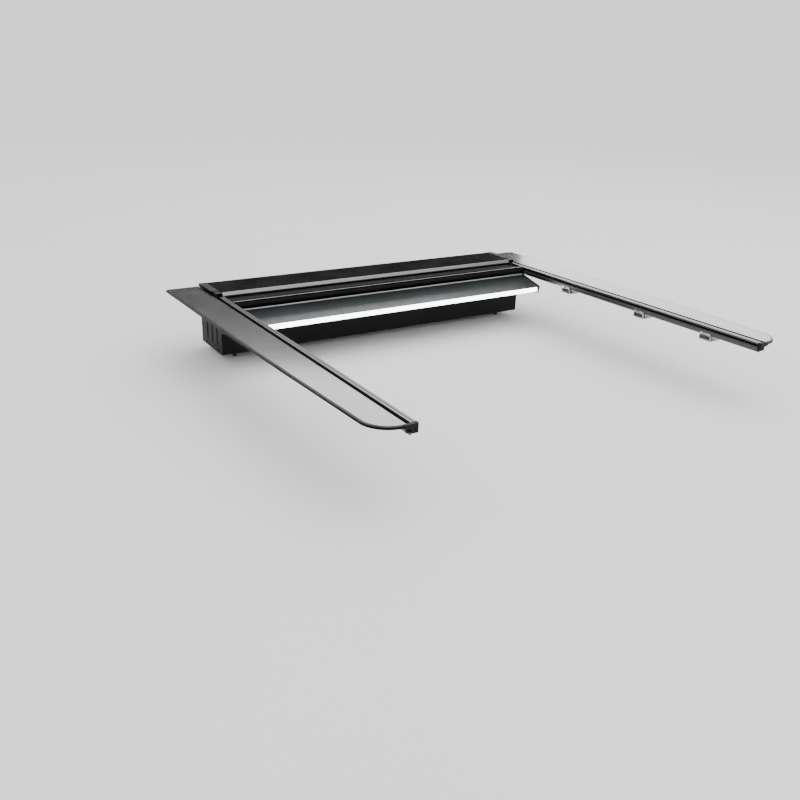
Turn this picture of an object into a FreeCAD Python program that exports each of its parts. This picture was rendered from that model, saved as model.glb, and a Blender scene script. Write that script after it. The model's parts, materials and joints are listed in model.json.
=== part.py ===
import FreeCAD, Part
import math
import os

V = FreeCAD.Vector

# Retractable roller cover for the bed of a pickup truck, with an electric drive. Millimetres.
# x = 0 is the bed's centre line, y = 0 is the rear end of the rail caps, +Y points to the cab.
# The functions below measure heights from the deck plane, which is the top of the rail caps.
# save() lifts every piece by deck_height, so that z = 0 is the top of the bed's side rails.
deck_height = 8.0

# Rail caps and their edge trim
cap_length = 1465.0
cap_inner_x = 714.6
cap_rear_x = 797.0
cap_middle_x = 823.0
cap_front_x = 834.0
cap_corner_radius = 75.0
cap_thickness = 2.5
cap_flange_depth = 6.0
trim_reach = 7.0
trim_end_x = 724.0

# Side rails: a C track that opens towards the bed, a gutter, and a flange under the cap
rail_rear_y = 3.0
rail_front_y = 1330.0
flange_rear_y = 14.0
lip_x = 682.0
web_x = 697.0
web_thickness = 3.0
gutter_outer_x = 714.0
gutter_depth = 10.0
flange_outer_x = 746.0
slot_top = -3.5
slot_floor = -19.0
lip_bottom = -24.5
skirt_bottom = -36.0

# Clamps that hold the rails to the bed
clamp_rows = (218.0, 527.0, 929.0)
clamp_half_length = 24.0
clamp_floor = -56.0
clamp_plate = 4.0
jaw_top = -37.0
jaw_bolt_x = 726.0
clamp_screw_z = -31.0
clamp_screw_spread = 14.0

# Curtain slats
pitch = 49.5
slat_thickness = 8.0
slat_wall = 1.3
slat_joint_gap = 2.8
knuckle_radius = 2.4
slat_half_length = 694.0
curtain_z = -10.0

# Roll
roll_y = 1359.0
roll_z = -114.0
roll_outer_radius = 90.0
roll_inner_radius = 48.0
layer_growth = 14.0
roll_start_angle = 80.0

# Drum and drive
tube_radius = 30.0
tube_wall = 2.0
tube_half_length = 690.0
ring_radius = 36.6
motor_radius = 22.5
motor_inner_end = 190.0
motor_outer_end = 692.0
drive_wheel_x = 168.0
drive_shaft_radius = 6.0
ring_columns = (-600.0, -360.0, -120.0, 120.0, 360.0, 600.0)
strap_columns = (-480.0, -240.0, 0.0, 240.0, 480.0)
plug_depth = 22.0
shaft_radius = 8.0
bearing_outer_x = -704.5
bearing_inner_x = -695.5
bearing_radius = 17.0

# Canister
shell_front_y = 1462.0
shell_rear_y = 1256.0
shell_bottom = -216.0
shell_thickness = 2.0
end_plate_corner = 8.0
end_plate_x = 706.0
end_plate_thickness = 3.0
apron_top = -42.0
apron_fold_y = 1222.0
apron_lower_y = 1108.0
apron_lower_z = -70.0
sheet_thickness = 1.5
edge_strip_height = 4.0
edge_strip_width = 1.5
nose_root_z = -126.3
bracket_rear_y = 1350.0
bracket_front_y = 1430.0
bracket_outer_x = 775.0
control_box_x = 490.0
control_box_half = 70.0

drain_x = 640.0
drain_y = 1310.0
gland_x = 560.0
gland_y = 1408.0
end_plate_screw_spots = ((1300.0, -208.0), (1420.0, -208.0), (1454.0, -150.0), (1454.0, -60.0),
                         (1264.0, -160.0))

# Lid
lid_nose_y = 1293.0
lid_nose_depth = 10.0
lid_screw_y = 1450.0
lid_screw_columns = (-630.0, -378.0, -126.0, 126.0, 378.0, 630.0)
lid_half_length = 684.0
lid_top = 11.0
lid_thickness = 2.5
lid_cap_outer_x = 713.0

# Lead slat, at the rear edge of the curtain
lead_rear_y = 1198.0
lead_front_y = 1262.0
lead_half_length = 680.5
run_rest_length = 8.0

# Guide roller under the lead slat
guide_y = 1240.0
guide_radius = 10.0
guide_gap = 0.3


def box(x0, x1, y0, y1, z0, z1):
    return Part.makeBox(x1 - x0, y1 - y0, z1 - z0, V(x0, y0, z0))


def rod(start, direction, radius, length):
    return Part.makeCylinder(radius, length, start, direction)


def along_x(points, x0, x1):
    """A closed outline of (y, z) points, run from x0 to x1."""
    ring = [V(x0, y, z) for y, z in points]
    return Part.Face(Part.makePolygon(ring + ring[:1])).extrude(V(x1 - x0, 0, 0))


def along_y(points, y0, y1):
    """A closed outline of (x, z) points, run from y0 to y1."""
    ring = [V(x, y0, z) for x, z in points]
    return Part.Face(Part.makePolygon(ring + ring[:1])).extrude(V(0, y1 - y0, 0))


def folded(points, thickness):
    """The closed outline of a bent sheet: the points are one face, the sheet lies to their left."""
    normals = []
    for (a0, b0), (a1, b1) in zip(points, points[1:]):
        length = math.hypot(a1 - a0, b1 - b0)
        normals.append(((b0 - b1) / length, (a1 - a0) / length))
    inner = []
    for i, (a, b) in enumerate(points):
        before = normals[max(i - 1, 0)]
        after = normals[min(i, len(normals) - 1)]
        scale = thickness / (1 + before[0] * after[0] + before[1] * after[1])
        inner.append((a + scale * (before[0] + after[0]), b + scale * (before[1] + after[1])))
    return points + inner[::-1]


def hexagon(centre, direction, across_flats, height):
    """A hexagonal prism along X or Z."""
    radius = across_flats / math.sqrt(3)
    ring = []
    for k in range(7):
        angle = math.radians(60 * k)
        if direction.x:
            ring.append(centre + V(0, radius * math.cos(angle), radius * math.sin(angle)))
        else:
            ring.append(centre + V(radius * math.cos(angle), radius * math.sin(angle), 0))
    return Part.Face(Part.makePolygon(ring)).extrude(direction * height)


def edges_through(shape, **place):
    """The straight edges whose both ends have the given coordinates."""
    found = []
    for edge in shape.Edges:
        ends = [v.Point for v in edge.Vertexes]
        if all(abs(getattr(p, axis) - value) < 0.01 for p in ends for axis, value in place.items()):
            found.append(edge)
    return found


def mirrored(shape):
    return shape.mirror(V(0, 0, 0), V(1, 0, 0))


def both_sides(shapes):
    return shapes + [mirrored(s) for s in shapes]


def save(name, shapes):
    """Write one sub-part, a group of one or more separate solids, to its own file."""
    solids = [solid for shape in shapes for solid in shape.Solids]
    group = Part.makeCompound(solids)
    group.translate(V(0, 0, deck_height))
    group.exportStep(f"parts/{name}.step")
    state = "valid" if group.isValid() else "NOT VALID"
    print(f"{name}: {len(solids)} solids, {group.Volume / 1000:.1f} cm3, {state}")


def save_pair(name, shapes):
    """Write a right-hand sub-part and its mirror image."""
    save(f"right_{name}", shapes)
    save(f"left_{name}", [mirrored(s) for s in shapes])


# ---------------------------------------------------------------- rails


def cap_outline_prism(grow, z0, z1, overrun=0.0):
    """The cap's outline, grown outwards by grow at its outer and rear edges."""
    inner = cap_inner_x - overrun
    front = cap_length + overrun
    corner = V(cap_rear_x + grow, -grow, z0)
    middle = V(cap_middle_x + grow, cap_length / 2, z0)
    outer_front = V(cap_front_x + grow, cap_length, z0)
    inner_front = V(inner, front, z0)
    inner_rear = V(inner, -grow, z0)
    edges = [
        Part.LineSegment(inner_rear, corner).toShape(),
        Part.Arc(corner, middle, outer_front).toShape(),
    ]
    if overrun:
        past_front = V(outer_front.x, front, z0)
        edges.append(Part.LineSegment(outer_front, past_front).toShape())
        outer_front = past_front
    edges.append(Part.LineSegment(outer_front, inner_front).toShape())
    edges.append(Part.LineSegment(inner_front, inner_rear).toShape())
    prism = Part.Face(Part.Wire(edges)).extrude(V(0, 0, z1 - z0))
    upright = edges_through(prism, x=corner.x, y=corner.y)
    return prism.makeFillet(cap_corner_radius + grow, upright)


def rail_cap():
    """A flat plate over the bed's side, turned down along its outer and rear edges."""
    edge_round = 1.2
    plate = cap_outline_prism(0, -cap_flange_depth, 0)
    hollow = cap_outline_prism(-cap_thickness, -cap_flange_depth - 1, -cap_thickness, overrun=5)
    plate = plate.cut(hollow)
    rim = []
    for edge in plate.Edges:
        on_top = all(abs(v.Z) < 0.01 for v in edge.Vertexes)
        outside = edge.CenterOfMass.x > cap_inner_x + 1 and edge.CenterOfMass.y < cap_length - 1
        if on_top and outside:
            rim.append(edge)
    return plate.makeFillet(edge_round, rim)


def edge_trim():
    """A rubber bead with two ribs round the cap's outer and rear edges."""
    low_rib = cap_outline_prism(trim_reach, -deck_height, -4.9)
    high_rib = cap_outline_prism(trim_reach - 1.5, -4.0, -0.9)
    core = cap_outline_prism(trim_reach - 3.6, -deck_height, -0.9)
    bead = low_rib.fuse([high_rib, core])
    bead = bead.cut(cap_outline_prism(0, -deck_height - 1, 1, overrun=40))
    past_end = box(cap_inner_x - 50, trim_end_x, -20, 20, -deck_height - 1, 1)
    return bead.cut(past_end).removeSplitter()


def rail():
    """The extruded side rail."""
    web_out = web_x + web_thickness
    floor = -gutter_depth
    wall_out = gutter_outer_x + web_thickness
    flange_top = -cap_thickness
    flange_bottom = flange_top - 3.0
    lip_edge = lip_x + 2.0
    lip_underside = slot_floor - 2.5
    bead_x = (lip_x + web_out) / 2
    outline = [
        (lip_x, 0), (bead_x - 1.5, 0), (bead_x - 1.5, -1.2), (bead_x + 1.5, -1.2),
        (bead_x + 1.5, 0), (web_out, 0), (web_out, floor), (gutter_outer_x, floor),
        (gutter_outer_x, flange_top), (flange_outer_x, flange_top),
        (flange_outer_x, flange_bottom), (wall_out, flange_bottom),
        (wall_out, floor - 3.0), (web_out, floor - 3.0), (web_out, skirt_bottom),
        (web_x, skirt_bottom), (web_x, lip_underside), (lip_edge, lip_underside),
        (lip_edge, lip_bottom), (lip_x, lip_bottom), (lip_x, slot_floor),
        (web_x, slot_floor), (web_x, slot_top), (lip_x, slot_top),
    ]
    body = along_y(outline, rail_rear_y, rail_front_y)
    holes = [rod(V(bead_x, 46, -5), V(0, 0, 1), 1.6, 10)]
    for row in clamp_rows:
        for side in (-1, 1):
            start = V(web_x - 1, row + side * clamp_screw_spread, clamp_screw_z)
            holes.append(rod(start, V(1, 0, 0), 3.1, web_thickness + 2))
    corner = box(wall_out, flange_outer_x + 1, rail_rear_y - 1, flange_rear_y, flange_bottom - 1, 0)
    return body.cut(holes + [corner])


def track_liner():
    """Two nylon wear strips, above and below the slats' ends."""
    inner = lip_x + 0.6
    outer = web_x - 0.1
    play = 0.4
    slat_top = curtain_z + slat_thickness / 2
    slat_bottom = curtain_z - slat_thickness / 2
    upper = box(inner, outer, rail_rear_y, rail_front_y, slat_top + play, slot_top)
    lower = box(inner, outer, rail_rear_y, rail_front_y, slot_floor, slat_bottom - play)
    return [upper, lower]


def rail_end_cap():
    """The moulded block that closes the rail's rear end and stops the trim."""
    rear = -9.0
    inner = lip_x - 0.5
    low = -26.0
    high = 0.8
    body = along_y([(inner, low), (704, low), (704, -14), (trim_end_x, -10), (trim_end_x, 0),
                    (718, high), (inner, high)], rear, 0)
    plug = box(inner, cap_inner_x - 0.6, 0, rail_rear_y, low, high)
    block = body.fuse(plug).removeSplitter()
    uprights = edges_through(block, x=inner, y=rear) + edges_through(block, x=trim_end_x, y=rear)
    block = block.makeFillet(3.0, uprights)
    recess = box(688, 711, rear + 3, rail_rear_y + 1, -0.8, 2)
    screw_hole = rod(V(691, rear - 1, -18), V(0, 1, 0), 2.6, 5)
    return block.cut([recess, screw_hole])


def bed_seal():
    """The foam strip between the rail's flange and the bed's side rail."""
    top = -cap_thickness - 3.0
    return box(720, 742, flange_rear_y, rail_front_y, -deck_height, top)


# ---------------------------------------------------------------- clamps


def clamp_bracket(row):
    """An angle bracket: its upright leg is screwed to the rail's skirt."""
    leg_top = -26.0
    inner = web_x - clamp_plate
    outer = 748
    outline = [(inner, leg_top), (web_x, leg_top), (web_x, clamp_floor + clamp_plate),
               (outer, clamp_floor + clamp_plate), (outer, clamp_floor), (inner, clamp_floor)]
    bracket = along_y(outline, row - clamp_half_length, row + clamp_half_length)
    heel = edges_through(bracket, x=inner, z=clamp_floor)
    root = edges_through(bracket, x=web_x, z=clamp_floor + clamp_plate)
    bracket = bracket.makeFillet(3.0, heel + root)
    holes = [rod(V(jaw_bolt_x, row, clamp_floor - 1), V(0, 0, 1), 4.3, clamp_plate + 2)]
    for side in (-1, 1):
        start = V(inner - 1, row + side * clamp_screw_spread, clamp_screw_z)
        holes.append(rod(start, V(1, 0, 0), 3.25, clamp_plate + 2))
    return bracket.cut(holes)


def clamp_jaw(row):
    """The block that the bolt pulls up under the bed's inner flange."""
    half = clamp_half_length - 3
    low = jaw_top - 9
    inner = 706
    outer = 748
    jaw = box(inner, outer, row - half, row + half, low, jaw_top)
    bored = jaw.cut(rod(V(jaw_bolt_x, row, low - 1), V(0, 0, 1), 4.02, 12))
    low_edges = edges_through(bored, x=inner, z=low) + edges_through(bored, x=outer, z=low)
    return bored.makeChamfer(2.0, low_edges)


def clamp_bolt(row):
    head = hexagon(V(jaw_bolt_x, row, clamp_floor - 5.4), V(0, 0, 1), 13, 5.3)
    shank = rod(V(jaw_bolt_x, row, clamp_floor - 0.2), V(0, 0, 1), 4.0, jaw_top - clamp_floor - 1)
    return head.fuse(shank)


def clamp_screws(row):
    """Two button screws with their nuts, through the bracket and the skirt."""
    pieces = []
    inner = web_x - clamp_plate
    for side in (-1, 1):
        y = row + side * clamp_screw_spread
        head = rod(V(inner - 3.2, y, clamp_screw_z), V(1, 0, 0), 5.3, 3.2)
        shank = rod(V(inner - 1, y, clamp_screw_z), V(1, 0, 0), 3.0, 16)
        socket = hexagon(V(inner - 3.3, y, clamp_screw_z), V(1, 0, 0), 4, 2)
        nut = hexagon(V(web_x + web_thickness, y, clamp_screw_z), V(1, 0, 0), 10, 5)
        bore = rod(V(web_x + web_thickness - 1, y, clamp_screw_z), V(1, 0, 0), 3.02, 8)
        pieces += [head.fuse(shank).cut(socket), nut.cut(bore)]
    return pieces


# ---------------------------------------------------------------- curtain


def slat():
    """A hollow slat. Its rear knuckle is on the x axis and its front pivot is one pitch along +Y."""
    half = slat_thickness / 2
    long = 2 * slat_half_length
    front = pitch - slat_joint_gap
    body = box(-slat_half_length, slat_half_length, slat_joint_gap, front, -half, half)
    rib_y = pitch / 2
    for y0, y1 in ((slat_joint_gap, rib_y - slat_wall / 2), (rib_y - slat_wall / 2, front - slat_wall)):
        body = body.cut(box(-slat_half_length - 1, slat_half_length + 1, y0 + slat_wall, y1,
                            slat_wall - half, half - slat_wall))
    neck = box(-slat_half_length, slat_half_length, 0, slat_joint_gap, -0.8, 0.8)
    knuckle = rod(V(-slat_half_length, 0, 0), V(1, 0, 0), knuckle_radius, long)
    return body.fuse([neck, knuckle]).removeSplitter()


def slat_at(y, z, degrees=0.0):
    """A slat with its rear pivot at (y, z), turned about it."""
    piece = slat()
    piece.rotate(V(0, 0, 0), V(1, 0, 0), degrees)
    piece.translate(V(0, y, z))
    return piece


def roll_pivots():
    """The pivots of the wound slats on their spiral, from the outside inwards."""
    def point(angle):
        radius = roll_outer_radius - layer_growth * angle / (2 * math.pi)
        turn = math.radians(roll_start_angle) - angle
        return V(0, roll_y + radius * math.cos(turn), roll_z + radius * math.sin(turn)), radius

    angle = 0.0
    pivots = [point(angle)[0]]
    radius = roll_outer_radius
    while radius > roll_inner_radius:
        low = angle
        high = angle + 2.0
        for _ in range(40):
            middle = (low + high) / 2
            if point(middle)[0].distanceToPoint(pivots[-1]) < pitch:
                low = middle
            else:
                high = middle
        angle = low
        place, radius = point(angle)
        pivots.append(place)
    return pivots


def wound_slats(pivots):
    pieces = []
    for here, there in zip(pivots, pivots[1:]):
        lean = math.degrees(math.atan2(there.z - here.z, there.y - here.y))
        pieces.append(slat_at(here.y, here.z, lean))
    return pieces


def anchor_straps(pivots):
    """Steel straps that tie the innermost slat to the drum tube."""
    strap_width = 30.0
    strap_thickness = 2.0
    end = pivots[-1]
    arm = end - V(0, roll_y, roll_z)
    foot_angle = math.atan2(arm.z, arm.y) - math.radians(50)
    foot = V(0, roll_y + (tube_radius - 1) * math.cos(foot_angle),
             roll_z + (tube_radius - 1) * math.sin(foot_angle))
    length = foot.distanceToPoint(end)
    lean = math.degrees(math.atan2(foot.z - end.z, foot.y - end.y))
    tube = rod(V(-800, roll_y, roll_z), V(1, 0, 0), tube_radius, 1600)
    straps = []
    for x in strap_columns:
        bar = box(x - strap_width / 2, x + strap_width / 2, 0, length,
                  -strap_thickness / 2, strap_thickness / 2)
        eye = rod(V(x - strap_width / 2, 0, 0), V(1, 0, 0), knuckle_radius, strap_width)
        strap = bar.fuse(eye)
        strap.rotate(V(0, 0, 0), V(1, 0, 0), lean)
        strap.translate(end)
        straps.append(strap.cut(tube))
    return straps


def curtain_run(rear_y):
    """The free stretch of curtain in the track. It is short while the cover is open."""
    half = slat_thickness / 2
    return box(-slat_half_length, slat_half_length, rear_y, rear_y + run_rest_length,
               curtain_z - half, curtain_z + half)


def lead_slat():
    """The deeper slat at the curtain's rear edge, with a raised rib and a drop face."""
    body_top = curtain_z + slat_thickness / 2
    body_bottom = curtain_z - slat_thickness / 2
    drop = -22.0
    front = lead_front_y - slat_joint_gap
    outline = [
        (lead_rear_y, drop), (lead_rear_y + 3.5, drop), (lead_rear_y + 3.5, body_bottom),
        (front, body_bottom), (front, body_top), (lead_rear_y + 12, body_top),
        (lead_rear_y + 7, 0), (lead_rear_y, 0),
    ]
    body = along_x(outline, -lead_half_length, lead_half_length)
    channel = box(-lead_half_length - 1, lead_half_length + 1, lead_rear_y + 5, front - 2,
                  body_bottom + 1.6, body_top - 1.6)
    top_rear = edges_through(body, y=lead_rear_y, z=0)
    return body.makeFillet(1.5, top_rear).cut(channel)


def lead_seal():
    """The hollow rubber bulb that meets the tailgate."""
    top = -5.0
    bottom = -21.0
    middle = (top + bottom) / 2
    radius = (top - bottom) / 2
    reach = 8.0
    tube = rod(V(-lead_half_length, 0, 0), V(1, 0, 0), radius, 2 * lead_half_length)
    bore = rod(V(-lead_half_length - 1, 0, 0), V(1, 0, 0), radius - 2, 2 * lead_half_length + 2)
    bulb = tube.cut(bore)
    bulb.translate(V(0, lead_rear_y - reach + radius, middle))
    keep = box(-lead_half_length - 1, lead_half_length + 1, lead_rear_y - reach - 1, lead_rear_y,
               bottom - 1, top + 1)
    backing = box(-lead_half_length, lead_half_length, lead_rear_y - 1.6, lead_rear_y, bottom, top)
    return bulb.common(keep).fuse(backing).removeSplitter()


def lead_guide():
    """The nylon block on each end of the lead slat, which slides in the track."""
    play = 0.1
    guide = box(lead_half_length, web_x - 1, lead_rear_y + 5, lead_front_y - 4,
                curtain_z - slat_thickness / 2 - play, curtain_z + slat_thickness / 2 + play)
    ends = edges_through(guide, x=web_x - 1, y=lead_rear_y + 5)
    ends += edges_through(guide, x=web_x - 1, y=lead_front_y - 4)
    return guide.makeFillet(5.0, ends)


def guide_roller():
    """A rubber-covered roller with a stub axle at each end."""
    z = curtain_z - slat_thickness / 2 - guide_gap - guide_radius
    body = rod(V(-675.5, guide_y, z), V(1, 0, 0), guide_radius, 1351)
    bore = rod(V(-640, guide_y, z), V(1, 0, 0), guide_radius - 3, 1280)
    axle_tips = rod(V(-681, guide_y, z), V(1, 0, 0), 3.95, 1362)
    shaft = body.fuse(axle_tips)
    return shaft.cut(bore)


def roller_bush():
    """A nylon block that stands on the apron and holds the guide roller's axle."""
    z = curtain_z - slat_thickness / 2 - guide_gap - guide_radius
    block = box(676.5, 681.5, guide_y - 9, guide_y + 9, apron_top, -16.0)
    tops = edges_through(block, y=guide_y - 9, z=-16.0) + edges_through(block, y=guide_y + 9, z=-16.0)
    block = block.makeFillet(5.0, tops)
    return block.cut(rod(V(676, guide_y, z), V(1, 0, 0), 4.0, 6))


# ---------------------------------------------------------------- drum and drive


def on_axis(x0, x1, radius):
    """A cylinder about the roll's axis."""
    return rod(V(x0, roll_y, roll_z), V(1, 0, 0), radius, x1 - x0)


def drum_tube():
    bore = on_axis(-tube_half_length - 1, tube_half_length + 1, tube_radius - tube_wall)
    return on_axis(-tube_half_length, tube_half_length, tube_radius).cut(bore)


def drum_rings():
    """Spacer rings that carry the innermost slats."""
    half = 15.0
    rings = []
    for x in ring_columns:
        bore = on_axis(x - half - 1, x + half + 1, tube_radius + 0.02)
        rings.append(on_axis(x - half, x + half, ring_radius).cut(bore))
    return rings


def idler_plug():
    """The plug in the drum's left end, with the shaft that turns in the bearing."""
    plug_end = plug_depth - tube_half_length
    plug = on_axis(-tube_half_length, plug_end, tube_radius - tube_wall - 0.05)
    flange = on_axis(-tube_half_length - 2.5, -tube_half_length, tube_radius - 1)
    shaft = on_axis(bearing_outer_x - 0.5, plug_end, shaft_radius - 0.02)
    return plug.fuse([flange, shaft]).removeSplitter()


def bearing_race_groove(ball_circle, ball_radius, x):
    centre = V(x, roll_y, roll_z)
    return Part.makeTorus(ball_circle, ball_radius, centre, V(1, 0, 0))


def bearing_parts():
    """A deep-groove ball bearing: its outer ring, its inner ring and its balls."""
    x0 = bearing_outer_x
    x1 = bearing_inner_x
    middle = (x0 + x1) / 2
    ball_circle = 12.5
    ball_radius = 2.6
    groove = bearing_race_groove(ball_circle, ball_radius + 0.1, middle)
    outer = on_axis(x0, x1, bearing_radius).cut(on_axis(x0 - 1, x1 + 1, 13.8)).cut(groove)
    inner = on_axis(x0, x1, 11.2).cut(on_axis(x0 - 1, x1 + 1, shaft_radius)).cut(groove)
    balls = []
    count = 9
    for k in range(count):
        angle = 2 * math.pi * k / count
        centre = V(middle, roll_y + ball_circle * math.cos(angle), roll_z + ball_circle * math.sin(angle))
        balls.append(Part.makeSphere(ball_radius, centre))
    return outer, inner, balls


def bearing_housing():
    """The cast ring on the left end plate that holds the bearing's outer ring."""
    ring = on_axis(-end_plate_x, bearing_inner_x + 0.5, bearing_radius + 6)
    ring = ring.cut(on_axis(bearing_outer_x - 0.1, bearing_inner_x + 5, bearing_radius + 0.02))
    back_hole = on_axis(-end_plate_x - 1, -end_plate_x + 6, 12.0)
    return ring.cut(back_hole)


def motor_body():
    """The tubular motor, with a bore at its inner end for the drive shaft."""
    body = on_axis(motor_inner_end, motor_outer_end, motor_radius)
    end_ring = edges_near_x(body, motor_inner_end)
    body = body.makeChamfer(1.5, end_ring)
    return body.cut(on_axis(motor_inner_end - 1, motor_inner_end + 26, drive_shaft_radius + 0.08))


def edges_near_x(shape, x):
    return [e for e in shape.Edges if abs(e.CenterOfMass.x - x) < 0.01]


def motor_head():
    """The square-shouldered head that fixes the motor to the right end plate."""
    half_width = 22.0
    head = on_axis(motor_outer_end, end_plate_x, 26)
    flats = box(motor_outer_end - 2, end_plate_x + 1, roll_y - half_width, roll_y + half_width,
                roll_z - 30, roll_z + 30)
    return head.common(flats)


def drive_wheel():
    """The ribbed wheel on the motor's shaft that turns the drum tube."""
    width = 20.0
    pocket_circle = 17.0
    wheel = on_axis(drive_wheel_x, drive_wheel_x + width, tube_radius - tube_wall - 0.05)
    shaft = on_axis(drive_wheel_x + width - 2, drive_wheel_x + width + 26, drive_shaft_radius)
    pockets = []
    for k in range(6):
        angle = math.radians(60 * k)
        centre = V(drive_wheel_x - 1, roll_y + pocket_circle * math.cos(angle),
                   roll_z + pocket_circle * math.sin(angle))
        pockets.append(rod(centre, V(1, 0, 0), 5.0, width - 4))
    return wheel.fuse(shaft).cut(pockets)


def crown_ring():
    """The ring in the drum's right end that turns on the motor's neck."""
    width = 20.0
    ring = on_axis(tube_half_length - width, tube_half_length, tube_radius - tube_wall - 0.05)
    return ring.cut(on_axis(tube_half_length - width - 1, tube_half_length + 1, motor_radius + 0.06))


# ---------------------------------------------------------------- canister


def canister_front_wall():
    """The upright panel next to the cab, with a flange at its top that carries the lid."""
    flange_y = shell_front_y - 26
    flange_z = lid_top - lid_thickness
    outline = [(flange_y, flange_z), (shell_front_y, flange_z),
               (shell_front_y, shell_bottom + shell_thickness)]
    half = end_plate_x - 0.1
    wall = along_x(folded(outline, -shell_thickness), -half, half)
    cuts = [rod(V(x, lid_screw_y, 0), V(0, 0, 1), 2.55, 12) for x in lid_screw_columns]
    for side in (-1, 1):
        outer_x = side * (half + 1)
        inner_x = side * (lid_half_length - 0.5)
        cuts.append(box(min(outer_x, inner_x), max(outer_x, inner_x), 1400, 1500, -0.1, 20))
    return wall.cut(cuts)


def canister_floor():
    """The bottom panel, with holes for the drains and the cable."""
    half = end_plate_x - 0.1
    floor = box(-half, half, shell_rear_y, shell_front_y, shell_bottom, shell_bottom + shell_thickness)
    cuts = [rod(V(side * drain_x, drain_y, shell_bottom - 1), V(0, 0, 1), 5.5, 4) for side in (-1, 1)]
    cuts.append(rod(V(gland_x, gland_y, shell_bottom - 1), V(0, 0, 1), 6.0, 4))
    return floor.cut(cuts)


def canister_rear_wall():
    """The upright panel behind the light nose."""
    half = end_plate_x - 0.1
    return box(-half, half, shell_rear_y, shell_rear_y + shell_thickness,
               shell_bottom + shell_thickness, apron_top - sheet_thickness)


def apron_panel():
    """The sloping cover over the light nose, with a flat top that carries the roller bushes."""
    path = [(shell_rear_y + shell_thickness, apron_top), (apron_fold_y, apron_top),
            (apron_lower_y, apron_lower_z)]
    return along_x(folded(path, sheet_thickness), -704, 704)


def led_frame_piece(shape):
    """Lean a piece of the light strip back so that its lens faces a little downwards."""
    lean = 16.0
    shape.rotate(V(0, apron_lower_y, apron_lower_z), V(1, 0, 0), lean)
    return shape


def led_channel():
    """The aluminium channel that holds the light strip."""
    top = apron_lower_z - 2.4
    bottom = top - 23.0
    front = apron_lower_y
    outline = [(front, top), (front + 10, top), (front + 10, bottom), (front, bottom),
               (front, bottom + 1.5), (front + 8.5, bottom + 1.5), (front + 8.5, top - 1.5),
               (front, top - 1.5)]
    return led_frame_piece(along_x(outline, -702, 702))


def led_lens():
    """The milky lens that snaps into the channel."""
    top = apron_lower_z - 3.95
    bottom = top - 19.9
    face = apron_lower_y - 0.8
    outline = [(face, bottom + 1), (face, top - 1), (face + 1, top), (face + 3, top),
               (face + 3, bottom), (face + 1, bottom)]
    return led_frame_piece(along_x(outline, -701, 701))


def led_board():
    """The circuit strip with its light-emitting chips."""
    back = apron_lower_y + 8.5
    middle = apron_lower_z - 2.4 - 11.5
    board = box(-695, 695, back - 1.2, back, middle - 5, middle + 5)
    chips = []
    count = 40
    for k in range(count):
        x = -680 + 1360 * k / (count - 1)
        chips.append(box(x - 2.5, x + 2.5, back - 2.6, back - 1.2, middle - 1.4, middle + 1.4))
    return led_frame_piece(board.fuse(chips))


def apron_edge_strip():
    """A slim bright strip that stands up along the apron's fold."""
    rear = apron_fold_y + 0.5
    return box(-703, 703, rear, rear + edge_strip_width, apron_top, apron_top + edge_strip_height)


def nose_panel():
    """The underside of the light nose, from the light strip back to a hem on the canister."""
    lip = (apron_lower_y + 16, -96)
    front = (apron_lower_y + 17.5, -97.2)
    bend = (shell_rear_y - 12, nose_root_z + 2.3)
    root = (shell_rear_y - sheet_thickness, nose_root_z)
    hem = (shell_rear_y - sheet_thickness, nose_root_z - 11.7)
    return along_x(folded([lip, front, bend, root, hem], sheet_thickness), -704, 704)


def end_plate():
    """The cast plate at the canister's end. It passes under the rail and stands up behind it."""
    low = -39.5
    outline = [
        (apron_lower_y - 4, apron_lower_z + 1), (apron_fold_y, low), (rail_front_y + 4, low),
        (rail_front_y + 4, 0), (shell_front_y + 2, 0), (shell_front_y + 2, shell_bottom - 2),
        (shell_rear_y - 2, shell_bottom - 2), (shell_rear_y - 2, -132), (apron_lower_y + 8, -101),
        (apron_lower_y + 2, -97),
    ]
    plate = along_x(outline, end_plate_x, end_plate_x + end_plate_thickness)
    corners = edges_through(plate, y=shell_front_y + 2, z=shell_bottom - 2)
    corners += edges_through(plate, y=shell_rear_y - 2, z=shell_bottom - 2)
    plate = plate.makeFillet(end_plate_corner, corners)
    holes = [rod(V(end_plate_x - 1, y, z), V(1, 0, 0), 2.6, 6) for y, z in end_plate_screw_spots]
    return plate.cut(holes)


def end_plate_screws():
    """Button screws through the end plate into bosses on the canister's inner corners."""
    screws = []
    face = end_plate_x + end_plate_thickness
    for y, z in end_plate_screw_spots:
        head = rod(V(face, y, z), V(1, 0, 0), 4.6, 2.4)
        shank = rod(V(face - 3, y, z), V(1, 0, 0), 2.5, 4)
        socket = hexagon(V(face + 1, y, z), V(1, 0, 0), 3, 2)
        screws.append(head.fuse(shank).cut(socket))
    return screws


def canister_bracket():
    """A steel angle that carries the canister's front corner on the bed's side rail."""
    face = end_plate_x + end_plate_thickness
    plate = 3.0
    low = -70.0
    top = plate - deck_height
    outline = [(face, low), (face + plate, low), (face + plate, -deck_height),
               (bracket_outer_x, -deck_height), (bracket_outer_x, top), (face, top)]
    bracket = along_y(outline, bracket_rear_y, bracket_front_y)
    bend = edges_through(bracket, x=face, z=top)
    bracket = bracket.makeFillet(2.5, bend)
    hole_rows = (bracket_rear_y + 20, bracket_front_y - 20)
    holes = [rod(V(bracket_outer_x - 30, y, -deck_height - 1), V(0, 0, 1), 4.5, 5) for y in hole_rows]
    return bracket.cut(holes)


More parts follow.
